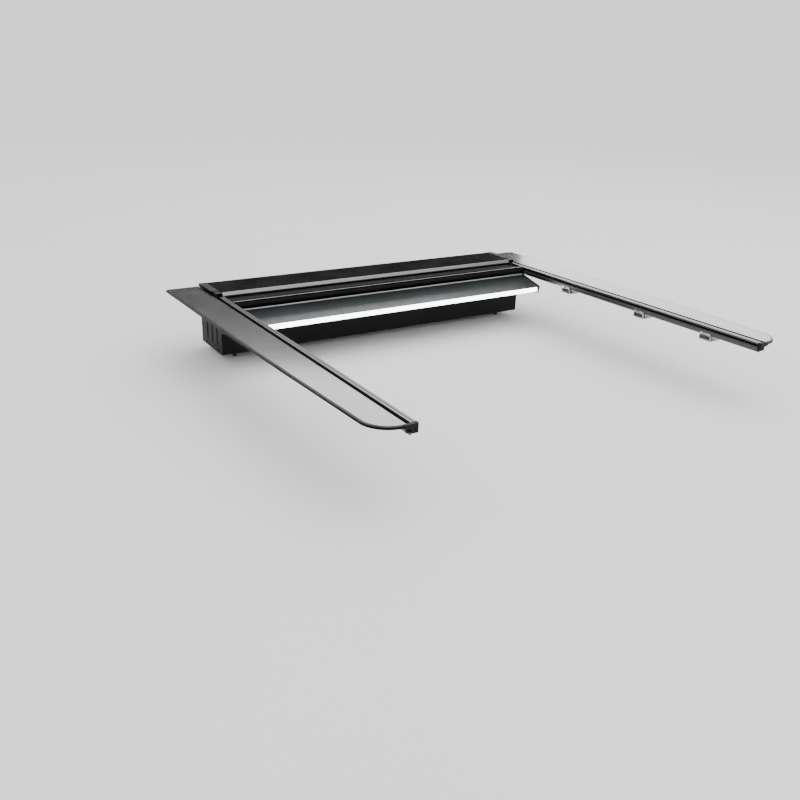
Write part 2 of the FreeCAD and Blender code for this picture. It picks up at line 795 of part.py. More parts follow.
def drain_spigot(side):
    """A hose spigot under the canister's floor."""
    x = side * drain_x
    tip = shell_bottom - 27
    flange = rod(V(x, drain_y, shell_bottom - 3), V(0, 0, 1), 15, 3)
    pipe = rod(V(x, drain_y, tip + 1), V(0, 0, 1), 8, 23)
    lead_in = Part.makeCone(7, 8, 1, V(x, drain_y, tip), V(0, 0, 1))
    bore = rod(V(x, drain_y, tip - 1), V(0, 0, 1), 5.5, 29)
    return flange.fuse([pipe, lead_in]).cut(bore)


def cable_gland():
    """The gland in the canister's floor through which the supply cable enters."""
    x = gland_x
    y = gland_y
    nut = hexagon(V(x, y, shell_bottom - 6), V(0, 0, 1), 19, 6)
    dome = rod(V(x, y, shell_bottom - 15), V(0, 0, 1), 8, 9)
    neck = rod(V(x, y, shell_bottom - 1), V(0, 0, 1), 5.95, 5)
    bore = rod(V(x, y, shell_bottom - 16), V(0, 0, 1), 3.5, 22)
    return nut.fuse([dome, neck]).cut(bore)


def control_module():
    """The sealed electronics box inside the light nose."""
    x0 = control_box_x - control_box_half
    x1 = control_box_x + control_box_half
    rear = 1150.0
    front = 1222.0
    floor = -98.0
    case = box(x0, x1, rear, front, floor, floor + 24)
    lid = box(x0 - 4, x1 + 4, rear - 4, front + 4, floor - 2, floor)
    case = case.makeFillet(4.0, [e for e in case.Edges if abs(e.Vertexes[0].Z - e.Vertexes[-1].Z) > 20])
    plug = box(x0 - 12, x0, rear + 26, rear + 46, floor + 6, floor + 18)
    return case.fuse([lid, plug]).removeSplitter()


# ---------------------------------------------------------------- lid


def canister_lid():
    """The lid over the roll, hooked over the canister's front wall."""
    rear = lid_nose_y + lid_nose_depth
    front = shell_front_y
    path = [(rear, lid_top), (front + lid_thickness, lid_top), (front + lid_thickness, -3)]
    sheet = along_x(folded(path, -lid_thickness), -lid_half_length, lid_half_length)
    bend = edges_through(sheet, y=front + lid_thickness, z=lid_top)
    sheet = sheet.makeFillet(2.2, bend)
    holes = [rod(V(x, lid_screw_y, 5), V(0, 0, 1), 2.6, 10) for x in lid_screw_columns]
    return sheet.cut(holes)


def lid_nose():
    """The extruded rear edge of the lid, with a sloping face and a line along it."""
    back = lid_nose_y + lid_nose_depth
    low = slot_top
    foot = V(0, lid_nose_y, 1.0)
    crest = V(0, back - 0.8, lid_top)
    slope = (crest - foot).normalize()
    inward = V(0, slope.z, -slope.y)
    middle = (foot + crest) * 0.5
    line = [middle + slope * 0.6, middle + slope * 0.6 + inward,
            middle - slope * 0.6 + inward, middle - slope * 0.6]
    outline = [(lid_nose_y, low), (back, low), (back, lid_top), (crest.y, crest.z)]
    outline += [(p.y, p.z) for p in line] + [(foot.y, foot.z)]
    return along_x(outline, 0.5 - lip_x, lip_x - 0.5)


def lid_wiper_seal():
    """The rubber strip that wipes the curtain as it leaves the canister."""
    slat_top = curtain_z + slat_thickness / 2
    base = lid_nose_y + 4.5
    outline = [(base, slot_top), (base, slot_top - 0.9), (base + 1.6, slat_top + 0.3),
               (base + 3.0, slat_top + 0.3), (base + 5, slot_top - 0.9), (base + 5, slot_top)]
    return along_x(outline, 0.5 - lip_x, lip_x - 0.5)


def lid_end_cap():
    """The moulded cap at the lid's end. Its rear part is a step narrower and lower."""
    tall = box(lid_half_length, lid_cap_outer_x, rail_front_y, shell_front_y + 2, 0, lid_top + 1)
    step = box(lid_half_length, lid_cap_outer_x - 6, lid_nose_y + 2, rail_front_y, 0, lid_top - 1)
    outer_top = edges_through(tall, x=lid_cap_outer_x, z=lid_top + 1)
    rear_top = edges_through(tall, y=rail_front_y, z=lid_top + 1)
    front_top = edges_through(tall, y=shell_front_y + 2, z=lid_top + 1)
    cap = tall.makeFillet(1.5, outer_top + rear_top + front_top).fuse(step)
    hollow_tall = box(lid_half_length + 2.5, lid_cap_outer_x - 2.5, rail_front_y + 2.5,
                      shell_front_y - 0.5, -1, lid_top - 1.5)
    hollow_step = box(lid_half_length + 2.5, lid_cap_outer_x - 8.5, lid_nose_y + 4.5,
                      rail_front_y, -1, lid_top - 3.5)
    return cap.cut([hollow_tall, hollow_step])


def lid_screws():
    screws = []
    for x in lid_screw_columns:
        head = rod(V(x, lid_screw_y, lid_top), V(0, 0, 1), 4.6, 2.0)
        crown = [e for e in head.Edges if abs(e.CenterOfMass.z - lid_top - 2) < 0.01]
        head = head.makeFillet(1.2, crown)
        shank = rod(V(x, lid_screw_y, 3), V(0, 0, 1), 2.5, 9)
        socket = hexagon(V(x, lid_screw_y, lid_top + 0.9), V(0, 0, 1), 3, 2)
        screws.append(head.fuse(shank).cut(socket))
    return screws


def bulkhead_seal():
    """The hollow rubber strip between the lid and the front of the bed."""
    base = shell_front_y + lid_thickness
    radius = 6.5
    centre_z = 2.0
    tube = rod(V(-lid_half_length, base, centre_z), V(1, 0, 0), radius, 2 * lid_half_length)
    bore = rod(V(-lid_half_length - 1, base, centre_z), V(1, 0, 0), radius - 1.8,
               2 * lid_half_length + 2)
    keep = box(-lid_half_length - 1, lid_half_length + 1, base, base + 20, -20, 20)
    half_tube = tube.cut(bore).common(keep)
    backing = box(-lid_half_length, lid_half_length, base, base + 1.6, centre_z - radius,
                  centre_z + radius)
    return half_tube.fuse(backing).removeSplitter()


def build_rails():
    save_pair("rail", [rail()])
    save_pair("rail_cap", [rail_cap()])
    save_pair("edge_trim", [edge_trim()])
    save_pair("rail_end_cap", [rail_end_cap()])
    save_pair("track_liner", track_liner())
    save_pair("bed_seal", [bed_seal()])
    save("clamp_brackets", both_sides([clamp_bracket(row) for row in clamp_rows]))
    save("clamp_jaws", both_sides([clamp_jaw(row) for row in clamp_rows]))
    save("clamp_bolts", both_sides([clamp_bolt(row) for row in clamp_rows]))
    save("clamp_screws", both_sides([s for row in clamp_rows for s in clamp_screws(row)]))


def build_curtain():
    pivots = roll_pivots()
    run_rear = lead_front_y + pitch - slat_joint_gap + 0.5
    exit_rear = run_rear + run_rest_length + knuckle_radius + 0.5
    save("wound_slats", wound_slats(pivots))
    save("anchor_straps", anchor_straps(pivots))
    save("exit_slat", [slat_at(exit_rear, curtain_z)])
    save("curtain_run", [curtain_run(run_rear)])
    save("lead_in_slat", [slat_at(lead_front_y, curtain_z)])
    save("lead_slat", [lead_slat()])
    save("lead_slat_seal", [lead_seal()])
    save("lead_end_guides", both_sides([lead_guide()]))
    save("guide_roller", [guide_roller()])
    save("roller_bushes", both_sides([roller_bush()]))


def build_drive():
    outer_ring, inner_ring, balls = bearing_parts()
    save("drum_tube", [drum_tube()])
    save("drum_rings", drum_rings())
    save("idler_plug", [idler_plug()])
    save("bearing_outer_ring", [outer_ring])
    save("bearing_inner_ring", [inner_ring])
    save("bearing_balls", balls)
    save("bearing_housing", [bearing_housing()])
    save("motor_body", [motor_body()])
    save("motor_head", [motor_head()])
    save("drive_wheel", [drive_wheel()])
    save("crown_ring", [crown_ring()])


def build_canister():
    save("canister_front_wall", [canister_front_wall()])
    save("canister_floor", [canister_floor()])
    save("canister_rear_wall", [canister_rear_wall()])
    save("apron_panel", [apron_panel()])
    save("apron_edge_strip", [apron_edge_strip()])
    save("nose_panel", [nose_panel()])
    save("led_channel", [led_channel()])
    save("led_lens", [led_lens()])
    save("led_board", [led_board()])
    save_pair("end_plate", [end_plate()])
    save("end_plate_screws", both_sides(end_plate_screws()))
    save("canister_brackets", both_sides([canister_bracket()]))
    save("drain_spigots", [drain_spigot(side) for side in (-1, 1)])
    save("cable_gland", [cable_gland()])
    save("control_module", [control_module()])
    save("canister_lid", [canister_lid()])
    save("lid_nose", [lid_nose()])
    save("lid_wiper_seal", [lid_wiper_seal()])
    save_pair("lid_end_cap", [lid_end_cap()])
    save("lid_screws", lid_screws())
    save("bulkhead_seal", [bulkhead_seal()])


os.makedirs("parts", exist_ok=True)
build_rails()
build_curtain()
build_drive()
build_canister()
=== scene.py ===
import bmesh
import bpy
import json
import math
from mathutils import Matrix, Vector

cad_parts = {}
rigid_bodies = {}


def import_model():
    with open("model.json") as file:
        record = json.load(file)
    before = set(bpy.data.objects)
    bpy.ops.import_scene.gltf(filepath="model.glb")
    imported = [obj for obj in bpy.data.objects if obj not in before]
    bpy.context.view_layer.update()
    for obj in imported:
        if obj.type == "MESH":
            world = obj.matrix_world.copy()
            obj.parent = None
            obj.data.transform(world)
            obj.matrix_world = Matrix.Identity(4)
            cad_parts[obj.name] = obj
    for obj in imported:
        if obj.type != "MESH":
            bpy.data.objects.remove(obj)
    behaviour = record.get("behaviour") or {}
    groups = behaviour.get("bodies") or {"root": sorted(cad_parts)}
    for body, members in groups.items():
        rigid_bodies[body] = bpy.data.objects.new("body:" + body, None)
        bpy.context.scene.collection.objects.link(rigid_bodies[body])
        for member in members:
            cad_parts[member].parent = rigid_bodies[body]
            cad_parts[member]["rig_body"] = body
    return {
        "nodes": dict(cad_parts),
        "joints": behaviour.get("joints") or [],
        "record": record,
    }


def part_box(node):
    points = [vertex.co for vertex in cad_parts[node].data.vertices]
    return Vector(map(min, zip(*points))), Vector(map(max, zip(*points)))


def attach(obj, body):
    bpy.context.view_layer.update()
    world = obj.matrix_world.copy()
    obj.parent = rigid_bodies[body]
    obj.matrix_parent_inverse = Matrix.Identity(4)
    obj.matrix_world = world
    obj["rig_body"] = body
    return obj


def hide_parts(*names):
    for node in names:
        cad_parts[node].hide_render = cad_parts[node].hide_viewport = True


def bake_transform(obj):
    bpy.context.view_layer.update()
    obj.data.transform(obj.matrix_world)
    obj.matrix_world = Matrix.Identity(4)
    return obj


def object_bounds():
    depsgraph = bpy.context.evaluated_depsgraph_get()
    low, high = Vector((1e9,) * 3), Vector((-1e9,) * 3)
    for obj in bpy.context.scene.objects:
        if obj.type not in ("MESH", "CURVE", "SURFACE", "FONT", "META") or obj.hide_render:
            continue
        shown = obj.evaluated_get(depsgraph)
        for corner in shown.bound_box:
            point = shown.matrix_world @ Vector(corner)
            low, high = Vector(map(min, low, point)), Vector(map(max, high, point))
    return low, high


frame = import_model()
cad_low, cad_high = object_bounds()
nodes = frame["nodes"]
scene = bpy.context.scene

# A retractable roller cover for a pickup bed, shown open. Metres, in the row's frame:
# +Y points to the cab, z = 0 is the top of the bed's side rails. Sections are given in millimetres.
MM = 0.001
SLAT_PITCH = 49.5
SLAT_KNUCKLE = 2.4    # a slat's rear pivot is this far from its rear edge
JOINTS = {joint["name"]: joint for joint in frame["joints"]}
CURTAIN_TRAVEL = JOINTS["lead_slide"]["range_m"][1]
SLOT_OF_NODE = {part["node"]: part["material_slot"] for part in frame["record"]["subparts"]}
BODY_OF_NODE = {name: node["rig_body"] for name, node in nodes.items()}


# ---------------------------------------------------------------- finishes


class Finish:
    """A procedural material. Textures are placed in metres, in the piece's own frame."""

    def __init__(self, name, **sockets):
        self.material = bpy.data.materials.new(name)
        self.material.use_nodes = True
        self.tree = self.material.node_tree
        self.shader = self.tree.nodes["Principled BSDF"]
        self.place = self.add("ShaderNodeTexCoord").outputs["Object"]
        for socket, value in sockets.items():
            self.shader.inputs[socket.replace("_", " ")].default_value = value

    def add(self, kind, **settings):
        node = self.tree.nodes.new(kind)
        for key, value in settings.items():
            setattr(node, key, value)
        return node

    def link(self, source, target):
        self.tree.links.new(source, target)

    def stretched(self, scale):
        """The piece's coordinates, scaled differently along each axis."""
        mapping = self.add("ShaderNodeMapping")
        mapping.inputs["Scale"].default_value = scale
        self.link(self.place, mapping.inputs["Vector"])
        return mapping.outputs["Vector"]

    def noise(self, scale, detail, place=None, roughness=0.5):
        node = self.add("ShaderNodeTexNoise")
        node.inputs["Scale"].default_value = scale
        node.inputs["Detail"].default_value = detail
        node.inputs["Roughness"].default_value = roughness
        self.link(place or self.place, node.inputs["Vector"])
        return node.outputs["Fac"]

    def cells(self, scale, output="Distance"):
        node = self.add("ShaderNodeTexVoronoi")
        node.inputs["Scale"].default_value = scale
        self.link(self.place, node.inputs["Vector"])
        return node.outputs[output]

    def spread(self, value, low, high, start=0.3, end=0.7):
        """A texture value from start to end, spread over low to high."""
        node = self.add("ShaderNodeMapRange")
        for socket, number in (("From Min", start), ("From Max", end), ("To Min", low), ("To Max", high)):
            node.inputs[socket].default_value = number
        self.link(value, node.inputs["Value"])
        return node.outputs["Result"]

    def blend(self, amount, first, second):
        """A colour between two colours, either of which may be the output of another blend."""
        node = self.add("ShaderNodeMix", data_type="RGBA")
        self.link(amount, node.inputs["Factor"])
        for socket, colour in ((node.inputs[6], first), (node.inputs[7], second)):
            if isinstance(colour, tuple):
                socket.default_value = (*colour, 1.0)
            else:
                self.link(colour, socket)
        return node.outputs[2]

    def colour(self, source):
        self.link(source, self.shader.inputs["Base Color"])

    def roughness(self, source):
        self.link(source, self.shader.inputs["Roughness"])

    def relief(self, height, depth, strength):
        """Bump from a height of 0 to 1, depth metres deep."""
        node = self.add("ShaderNodeBump")
        node.inputs["Strength"].default_value = strength
        node.inputs["Distance"].default_value = depth
        self.link(height, node.inputs["Height"])
        self.link(node.outputs["Normal"], self.shader.inputs["Normal"])


def shade(colour, factor):
    """A colour made lighter or darker."""
    return tuple(min(1.0, channel * factor) for channel in colour)


def powder_coat(name, colour, gloss, relief=0.12, **sockets):
    """Sprayed and baked powder: orange peel, faint dust, small changes of gloss."""
    finish = Finish(name, **sockets)
    dust = finish.spread(finish.noise(5.0, 5.0), 0.0, 0.5, 0.42, 0.75)
    grain = finish.spread(finish.noise(900.0, 2.0), 0.0, 1.0)
    tint = finish.blend(grain, shade(colour, 0.82), shade(colour, 1.2))
    finish.colour(finish.blend(dust, tint, shade(colour, 1.5)))
    finish.roughness(finish.spread(finish.noise(9.0, 4.0), gloss - 0.03, gloss + 0.04))
    finish.relief(finish.noise(480.0, 2.0), 0.00002, relief)
    return finish.material


def extruded(name, colour, gloss, along, metallic=0.0, relief=0.4, **sockets):
    """Drawn aluminium with fine die lines along one axis, under a thin coat."""
    finish = Finish(name, Metallic=metallic, **sockets)
    fine = [1400.0] * 3
    fine["XYZ".index(along)] = 5.0
    lines = finish.noise(1.0, 3.0, finish.stretched(fine))
    wide = [60.0] * 3
    wide["XYZ".index(along)] = 2.0
    bands = finish.spread(finish.noise(1.0, 3.0, finish.stretched(wide)), 0.0, 1.0)
    tint = finish.blend(finish.spread(lines, 0.0, 1.0), shade(colour, 0.8), shade(colour, 1.25))
    finish.colour(finish.blend(bands, tint, shade(colour, 1.12)))
    finish.roughness(finish.spread(lines, gloss - 0.06, gloss + 0.08))
    finish.relief(lines, 0.00002, relief)
    return finish.material


def rubber(name, colour, gloss=0.66):
    """Matt rubber with a little bloom; a lower gloss value is a wiped, smoother skin."""
    finish = Finish(name, Specular_IOR_Level=0.15)
    bloom = finish.spread(finish.noise(11.0, 5.0), 0.0, 1.0, 0.4, 0.75)
    finish.colour(finish.blend(bloom, colour, shade(colour, 1.7)))
    finish.roughness(finish.spread(finish.noise(60.0, 3.0), gloss - 0.08, gloss + 0.1))
    finish.relief(finish.noise(1100.0, 3.0), 0.00006, 0.4)
    return finish.material


def foam(name, colour):
    """Open-cell foam with its pores."""
    finish = Finish(name, Specular_IOR_Level=0.25)
    pores = finish.cells(800.0)
    finish.colour(finish.blend(pores, shade(colour, 0.5), shade(colour, 1.6)))
    finish.roughness(finish.spread(pores, 0.88, 1.0, 0.0, 1.0))
    finish.relief(pores, 0.0006, 0.8)
    return finish.material


def moulded(name, colour, gloss, shine=0.35):
    """Injection-moulded nylon with a spark-eroded grain."""
    finish = Finish(name, Specular_IOR_Level=shine)
    grain = finish.cells(750.0)
    flow = finish.spread(finish.noise(16.0, 4.0), 0.0, 1.0)
    finish.colour(finish.blend(flow, shade(colour, 0.85), shade(colour, 1.3)))
    finish.roughness(finish.spread(finish.noise(45.0, 3.0), gloss - 0.07, gloss + 0.08))
    finish.relief(grain, 0.00008, 0.45)
    return finish.material


def wear_strip(name, colour):
    """Low-friction strip, polished in long streaks where the slats run."""
    finish = Finish(name)
    streaks = finish.noise(1.0, 3.0, finish.stretched((700.0, 3.0, 700.0)))
    finish.colour(finish.blend(finish.spread(streaks, 0.0, 1.0), shade(colour, 0.75), shade(colour, 1.5)))
    finish.roughness(finish.spread(streaks, 0.28, 0.5))
    finish.relief(streaks, 0.00002, 0.3)
    return finish.material


def cast_alloy(name, colour):
    """Die-cast aluminium, stained in places."""
    finish = Finish(name, Metallic=1.0)
    skin = finish.noise(420.0, 4.0)
    stain = finish.spread(finish.noise(24.0, 4.0), 0.0, 1.0, 0.35, 0.7)
    finish.colour(finish.blend(stain, colour, shade(colour, 0.72)))
    finish.roughness(finish.spread(skin, 0.3, 0.52))
    finish.relief(skin, 0.00016, 0.5)
    return finish.material


def zinc_plate(name, colour):
    """Zinc-plated steel with clouds of a warmer tone."""
    finish = Finish(name, Metallic=1.0)
    clouds = finish.spread(finish.noise(90.0, 3.0), 0.0, 1.0)
    warm = (colour[0] * 1.05, colour[1], colour[2] * 0.86)
    finish.colour(finish.blend(clouds, colour, warm))
    finish.roughness(finish.spread(finish.noise(300.0, 3.0), 0.2, 0.38))
    finish.relief(finish.noise(900.0, 2.0), 0.00003, 0.3)
    return finish.material


def black_oxide(name, colour):
    """Blackened steel that shows through where it is worn."""
    finish = Finish(name, Metallic=0.7)
    worn = finish.spread(finish.noise(240.0, 4.0), 0.0, 1.0, 0.5, 0.8)
    finish.colour(finish.blend(worn, colour, shade(colour, 2.6)))
    finish.roughness(finish.spread(finish.noise(500.0, 2.0), 0.3, 0.46))
    finish.relief(finish.noise(900.0, 2.0), 0.00003, 0.3)
    return finish.material


def galvanised(name, colour):
    """Hot-dip zinc with its spangle of crystals."""
    finish = Finish(name, Metallic=1.0)
    split = finish.add("ShaderNodeSeparateColor")
    finish.link(finish.cells(85.0, "Color"), split.inputs["Color"])
    finish.colour(finish.blend(split.outputs["Red"], shade(colour, 0.78), shade(colour, 1.12)))
    finish.roughness(finish.spread(split.outputs["Green"], 0.28, 0.46, 0.0, 1.0))
    finish.relief(finish.noise(500.0, 3.0), 0.00004, 0.3)
    return finish.material


def ground_steel(name, colour):
    """Bearing steel with the lines of the grinding wheel."""
    finish = Finish(name, Metallic=1.0)
    lines = finish.noise(1.0, 2.0, finish.stretched((3200.0, 160.0, 160.0)))
    finish.colour(finish.blend(finish.spread(lines, 0.0, 1.0), shade(colour, 0.85), colour))
    finish.roughness(finish.spread(lines, 0.1, 0.22))
    finish.relief(lines, 0.000006, 0.3)
    return finish.material


def motor_paint(name, colour):
    """Hammered paint with small dimples."""
    finish = Finish(name, Coat_Weight=0.3, Coat_Roughness=0.2)
    dimples = finish.cells(210.0)
    finish.colour(finish.blend(dimples, shade(colour, 0.8), shade(colour, 1.2)))
    finish.roughness(finish.spread(finish.noise(60.0, 3.0), 0.32, 0.46))
    finish.relief(dimples, 0.0002, 0.4)
    return finish.material


def flake_coat(name, colour):
    """Glossy lacquer with flakes, clouds and handling smudges."""
    finish = Finish(name, Coat_Weight=0.3, Coat_Roughness=0.26)
    split = finish.add("ShaderNodeSeparateColor")
    finish.link(finish.cells(620.0, "Color"), split.inputs["Color"])
    flakes = finish.spread(split.outputs["Red"], 0.0, 1.0, 0.86, 1.0)
    clouds = finish.spread(finish.noise(5.0, 5.0), 0.0, 1.0, 0.35, 0.65)
    smudge = finish.noise(34.0, 6.0, finish.stretched((0.6, 1.0, 1.0)), 0.62)
    marks = finish.spread(smudge, 0.0, 0.75, 0.62, 0.74)
    body = finish.blend(clouds, shade(colour, 0.88), shade(colour, 1.1))
    flecked = finish.blend(flakes, body, shade(colour, 1.6))
    finish.colour(finish.blend(marks, flecked, shade(colour, 1.9)))
    finish.roughness(finish.spread(smudge, 0.36, 0.52, 0.4, 0.7))
    finish.relief(finish.noise(700.0, 2.0), 0.00002, 0.2)
    return finish.material


def lit_lens(name, colour):
    """A milky diffuser over a row of chips: evenly bright, with a faint beat at their spacing."""
    finish = Finish(name, Roughness=0.35, Emission_Strength=9.0)
    beat = finish.add("ShaderNodeTexWave", bands_direction="X")
    beat.inputs["Scale"].default_value = 9.1
    finish.link(finish.place, beat.inputs["Vector"])
    even = finish.spread(beat.outputs["Fac"], 0.0, 1.0, 0.0, 1.0)
    glow = finish.blend(even, shade(colour, 0.9), colour)
    finish.colour(glow)
    finish.link(glow, finish.shader.inputs["Emission Color"])
    finish.relief(finish.noise(900.0, 2.0), 0.00004, 0.3)
    return finish.material


def circuit_board(name, colour):
    """White board lacquer over its tracks."""
    finish = Finish(name)
    tracks = finish.noise(1.0, 1.0, finish.stretched((30.0, 900.0, 900.0)))
    finish.colour(finish.blend(finish.spread(tracks, 0.0, 1.0), colour, shade(colour, 0.82)))
    finish.roughness(finish.spread(tracks, 0.35, 0.5))
    finish.relief(tracks, 0.00005, 0.4)
    return finish.material


FINISHES = {
    "cap_coat": powder_coat("cap_coat", (0.012, 0.012, 0.0135), 0.24, 0.02, Coat_Weight=1.0,
                            Coat_Roughness=0.105, Coat_IOR=1.75),
    "rail_coat": extruded("rail_coat", (0.006, 0.006, 0.0065), 0.3, "Y", Coat_Weight=0.7,
                          Coat_Roughness=0.18),
    "shell_coat": powder_coat("shell_coat", (0.004, 0.004, 0.005), 0.5, Specular_IOR_Level=0.16),
    "lid_coat": powder_coat("lid_coat", (0.0022, 0.0024, 0.003), 0.2, 0.03, Specular_IOR_Level=0.04),
    # nose_alloy: the pale grey is a painted reflection; the nose is dark and only looks light from the bright
    # light it mirrors.
    "nose_alloy": extruded("nose_alloy", (0.38, 0.385, 0.395), 0.34, "X", 0.9),
    "slat_aluminium": extruded("slat_aluminium", (0.0025, 0.0025, 0.003), 0.24, "X", relief=0.08,
                               Specular_IOR_Level=0.03),
    "apron_sheet": flake_coat("apron_sheet", (0.04, 0.047, 0.049)),
    # nose_sheet: black paint, made darker than real paint and nearly without specular as painted shade for
    # the dark truck bed under the nose.
    "nose_sheet": powder_coat("nose_sheet", (0.0015, 0.0017, 0.0028), 0.42, Specular_IOR_Level=0.04),
    "led_alloy": extruded("led_alloy", (0.6, 0.61, 0.62), 0.3, "X", 1.0),
    # A pale flat finish for the apron's edge strip: a painted highlight standing for the bright line along
    # the apron's fold.
    "apron_edge_painted_highlight": powder_coat("apron_edge_painted_highlight", (0.82, 0.82, 0.81), 0.45, 0.05),
    "led_lens": lit_lens("led_lens", (0.93, 0.965, 1.0)),
    "board": circuit_board("board", (0.8, 0.81, 0.79)),
    # rubber: black rubber, made darker than real rubber as painted shade for the dark truck bed around the
    # seals.
    "rubber": rubber("rubber", (0.004, 0.004, 0.0043)),
    "trim_rubber": rubber("trim_rubber", (0.003, 0.003, 0.0033), 0.3),
    "foam": foam("foam", (0.022, 0.022, 0.022)),
    "nylon": moulded("nylon", (0.004, 0.004, 0.0045), 0.42, 0.15),
    "liner": wear_strip("liner", (0.03, 0.03, 0.031)),
    "clamp_alloy": cast_alloy("clamp_alloy", (0.4, 0.4, 0.39)),
    "zinc_steel": zinc_plate("zinc_steel", (0.58, 0.6, 0.62)),
    "black_screw": black_oxide("black_screw", (0.03, 0.03, 0.033)),
    "galvanised": galvanised("galvanised", (0.58, 0.6, 0.62)),
    "motor_steel": motor_paint("motor_steel", (0.3, 0.31, 0.33)),
    "bearing_steel": ground_steel("bearing_steel", (0.72, 0.73, 0.74)),
    "gland_nylon": moulded("gland_nylon", (0.028, 0.028, 0.028), 0.44),
}


# ---------------------------------------------------------------- mesh tools


def finished_piece(name, mesh, slot, body, stands_for=(), finish=None):
    """Put a mesh into the scene as a piece with its finish, riding on a body."""
    piece = bpy.data.objects.new(name, mesh)
    scene.collection.objects.link(piece)
    mesh.materials.clear()
    mesh.materials.append(FINISHES[finish or slot])
    if stands_for:
        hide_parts(*stands_for)
    if body:
        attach(piece, body)
    return piece


def mark_sharp(bm, degrees=30.0):
    """Smooth shading, broken at the edges that turn more than the given angle."""
    for face in bm.faces:
        face.smooth = True
    for edge in bm.edges:
        turns = len(edge.link_faces) == 2 and edge.calc_face_angle(0.0) > math.radians(degrees)
        edge.smooth = not turns


def shaped_by(mesh, *modifiers):
    """A new mesh made from another one by modifiers, each given as its kind and its settings.

    Shading normals then follow the larger faces, so that a flat between rounded edges stays flat."""
    draft = bpy.data.objects.new("draft", mesh)
    scene.collection.objects.link(draft)
    for kind, settings in (*modifiers, ("WEIGHTED_NORMAL", {"keep_sharp": True})):
        modifier = draft.modifiers.new(kind, kind)
        for key, value in settings.items():
            setattr(modifier, key, value)
    bpy.context.view_layer.update()
    shaped = bpy.data.meshes.new_from_object(draft.evaluated_get(bpy.context.evaluated_depsgraph_get()))
    bpy.data.objects.remove(draft)
    bpy.data.meshes.remove(mesh)
    return shaped


def rounded(corners, steps=4):
    """A closed outline through (a, b, radius) corners in millimetres, with an arc at each one."""
    outline = []
    for i, (a, b, radius) in enumerate(corners):
        here = Vector((a, b))
        before = Vector(corners[i - 1][:2]) - here
        after = Vector(corners[(i + 1) % len(corners)][:2]) - here
        if radius == 0:
            outline.append(here)
            continue
        half = before.angle(after) / 2
        reach = radius / math.tan(half)
        centre = here + (before.normalized() + after.normalized()).normalized() * radius / math.sin(half)
        first = here + before.normalized() * reach - centre
        last = here + after.normalized() * reach - centre
        sweep = last.angle_signed(first)
        for k in range(steps + 1):
            outline.append(centre + Matrix.Rotation(sweep * k / steps, 2) @ first)
    return outline


def swept_x(outline, x_low, x_high, origin, end_round=0.3):
    """A bar along X with a (y, z) outline in millimetres from origin, its ends softened."""
    bm = bmesh.new()
    rings = []
    for x in (x_low, x_high):
        rings.append([bm.verts.new((x, origin.y + p.x * MM, origin.z + p.y * MM)) for p in outline])
    caps = [bm.faces.new(rings[0][::-1]), bm.faces.new(rings[1])]
    count = len(outline)
    for i in range(count):
        j = (i + 1) % count
        bm.faces.new((rings[0][i], rings[0][j], rings[1][j], rings[1][i]))
    bmesh.ops.recalc_face_normals(bm, faces=bm.faces)
    if end_round:
        rims = list({edge for cap in caps for edge in cap.edges})
        bmesh.ops.bevel(bm, geom=rims, offset=end_round * MM, segments=2, affect="EDGES")
    mark_sharp(bm)
    mesh = bpy.data.meshes.new("bar")
    bm.to_mesh(mesh)
    bm.free()
    return shaped_by(mesh)


def bar_for(node, corners, name, end_round=0.3, steps=4):
    """Replace a CAD bar along X by one with a finer section.

    Corners are (y, z, radius) in millimetres from the node's lowest y and z."""
    low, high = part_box(node)
    mesh = swept_x(rounded(corners, steps), low.x, high.x, low, end_round)
    return finished_piece(name, mesh, SLOT_OF_NODE[node], BODY_OF_NODE[node], [node])


def softened(node, width, segments=2, finish=None):
    """Replace a CAD node by a copy of it whose sharp edges are rounded, by a width in millimetres."""
    weld_distance = 2e-6
    flat_angle = math.radians(0.6)
    sharp_angle = math.radians(32.0)
    bm = bmesh.new()
    bm.from_mesh(nodes[node].data)
    bmesh.ops.remove_doubles(bm, verts=bm.verts, dist=weld_distance)
    bmesh.ops.dissolve_limit(bm, angle_limit=flat_angle, verts=bm.verts, edges=bm.edges)
    for face in bm.faces:
        face.smooth = True
    plain = bpy.data.meshes.new(node + "_plain")
    bm.to_mesh(plain)
    bm.free()
    bevel = {"width": width * MM, "segments": segments, "limit_method": "ANGLE",
             "angle_limit": sharp_angle}
    mesh = shaped_by(plain, ("BEVEL", bevel))
    return finished_piece(node + "_rounded", mesh, SLOT_OF_NODE[node], BODY_OF_NODE[node], [node], finish)


# ---------------------------------------------------------------- curtain


def slat_corners(pitch):
    """One slat's section from its rear pivot: knuckle, body with two fine grooves, lips at the front."""
    half = 4.0
    hinge_gap = 2.8
    knuckle_half = 1.2
    neck_half = 0.8
    neck_start = 1.4
    lip_end = pitch + 1.0
    lip_inside = half - 1.1
    groove_half_width = 0.8
    groove_depth = 0.45
    rear = hinge_gap
    front = pitch - hinge_gap
    corners = [(-2.3, -knuckle_half, 1.1), (-2.3, knuckle_half, 1.1), (neck_start, knuckle_half, 0.5),
               (neck_start, neck_half, 0.2), (rear, neck_half, 0.3), (rear, half, 1.4)]
    for third in (1, 2):
        y = pitch * third / 3
        corners += [(y - groove_half_width, half, 0.2), (y, half - groove_depth, 0.25),
                    (y + groove_half_width, half, 0.2)]
    corners += [(lip_end, half, 0.5), (lip_end, lip_inside, 0.4), (front, lip_inside, 0.3)]
    corners += [(front, -lip_inside, 0.3), (lip_end, -lip_inside, 0.4), (lip_end, -half, 0.5)]
    corners += [(rear, -half, 1.4), (rear, -neck_half, 0.3), (neck_start, -neck_half, 0.2),
                (neck_start, -knuckle_half, 0.5)]
    return corners


